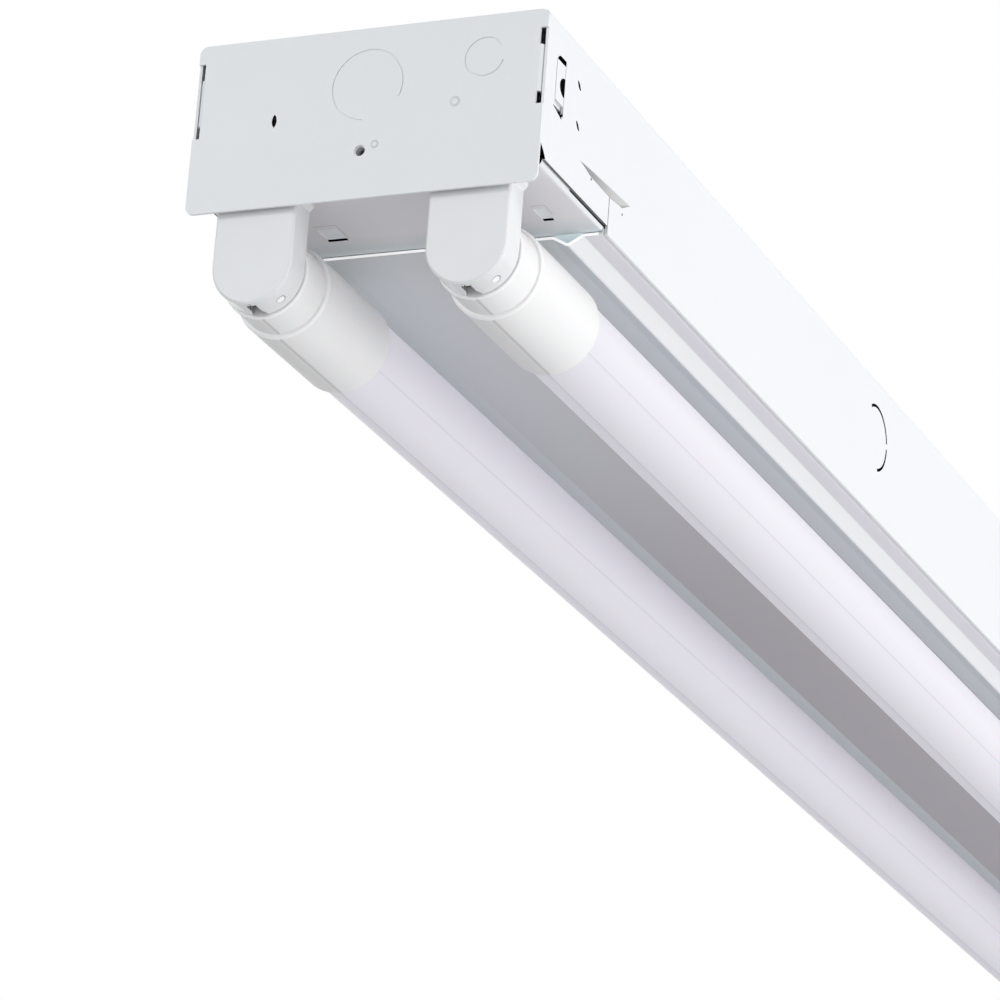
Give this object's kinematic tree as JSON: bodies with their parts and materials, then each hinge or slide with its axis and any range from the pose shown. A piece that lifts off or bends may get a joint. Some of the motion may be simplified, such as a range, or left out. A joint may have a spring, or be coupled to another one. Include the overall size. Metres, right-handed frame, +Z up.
{
  "type": "strip light",
  "caption": "Shop strip light: open white steel channel with ribbed cover, end plates, lampholders and turning tube lamps.",
  "frame": {"origin": "centre of the housing's top face, which meets the ceiling", "axes": "+Z up to the ceiling, +Y along the light towards its far end, +X across it"},
  "size_m": [0.108, 1.222, 0.0823],
  "materials": {
    "enamelled_steel": "smooth white enamel",
    "holder_plastic": "glossy moulded",
    "cap_plastic": "satin moulded",
    "frosted_tube": "frosted",
    "pin_metal": "plain",
    "contact_brass": "plain",
    "aluminium_rail": "extruded",
    "circuit_board": "white solder mask",
    "led_phosphor": "phosphor",
    "driver_parts": "circuit parts",
    "block_plastic": "moulded",
    "lead_black": "smooth",
    "lead_white": "smooth",
    "lead_green": "smooth",
    "screw_steel": "green passivated"
  },
  "bodies": {
    "housing": {"housing_channel": "enamelled_steel", "wireway_cover": "enamelled_steel", "socket_bracket_near": "enamelled_steel", "lampholder_contacts_near_left": "contact_brass", "lampholder_contacts_near_right": "contact_brass", "socket_bracket_far": "enamelled_steel", "lampholder_contacts_far_left": "contact_brass", "lampholder_contacts_far_right": "contact_brass", "end_plates": "enamelled_steel", "lampholders": "holder_plastic", "terminal_block": "block_plastic", "line_leads": "lead_black", "neutral_leads": "lead_white", "earth_lead": "lead_green", "earth_screw": "screw_steel"},
    "lamp_left": {"lamp_left_pins_near": "pin_metal", "lamp_left_pins_far": "pin_metal", "lamp_left_caps": "cap_plastic", "lamp_left_rotors": "holder_plastic", "lamp_left_tube": "frosted_tube", "lamp_left_heat_sink": "aluminium_rail", "lamp_left_led_board": "circuit_board", "lamp_left_led_chips": "led_phosphor", "lamp_left_driver": "driver_parts"},
    "lamp_right": {"lamp_right_pins_near": "pin_metal", "lamp_right_pins_far": "pin_metal", "lamp_right_caps": "cap_plastic", "lamp_right_rotors": "holder_plastic", "lamp_right_tube": "frosted_tube", "lamp_right_heat_sink": "aluminium_rail", "lamp_right_led_board": "circuit_board", "lamp_right_led_chips": "led_phosphor", "lamp_right_driver": "driver_parts"}
  },
  "joints": [
    {"name": "lamp_left_turn", "type": "hinge", "parent": "housing", "child": "lamp_left", "pos_m": [-0.0328, 0, -0.0679], "axis": [0, 1, 0], "range_deg": [0, 90]},
    {"name": "lamp_right_turn", "type": "hinge", "parent": "housing", "child": "lamp_right", "pos_m": [0.0328, 0, -0.0679], "axis": [0, 1, 0], "range_deg": [0, 90]}
  ]
}
